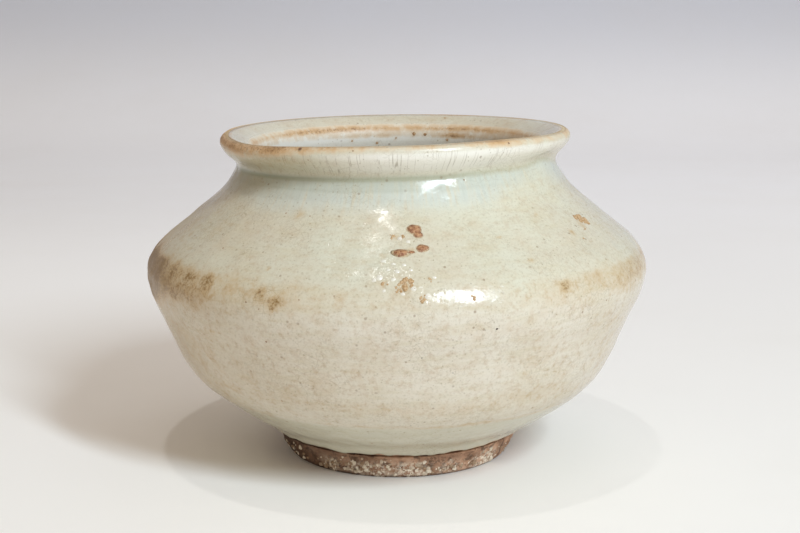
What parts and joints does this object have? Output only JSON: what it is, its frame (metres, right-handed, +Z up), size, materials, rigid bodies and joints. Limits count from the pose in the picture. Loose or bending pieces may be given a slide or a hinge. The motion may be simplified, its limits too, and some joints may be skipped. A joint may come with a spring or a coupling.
{
  "type": "porcelain jar",
  "caption": "Squat thrown porcelain jar with a keeled belly, flaring dished rim, wide mouth and low bare foot, under a warm grey-white crackled glaze; holds food or dry goods.",
  "frame": {"origin": "on the table, at the middle of the foot", "axes": "+Z up the jar's turning axis; X and Y are level and alike"},
  "size_m": [0.16, 0.16, 0.1052],
  "materials": {
    "bare_clay": "rough unglazed fired clay with kiln grit",
    "glaze": "glossy grey-white crackled glaze"
  },
  "bodies": {
    "root": {"foot_ring": "bare_clay", "lower_bowl": "bare_clay", "joint_slip": "bare_clay", "upper_bowl": "bare_clay", "mouth_rim": "bare_clay", "outer_glaze": "glaze", "inner_glaze": "glaze"}
  },
  "joints": []
}
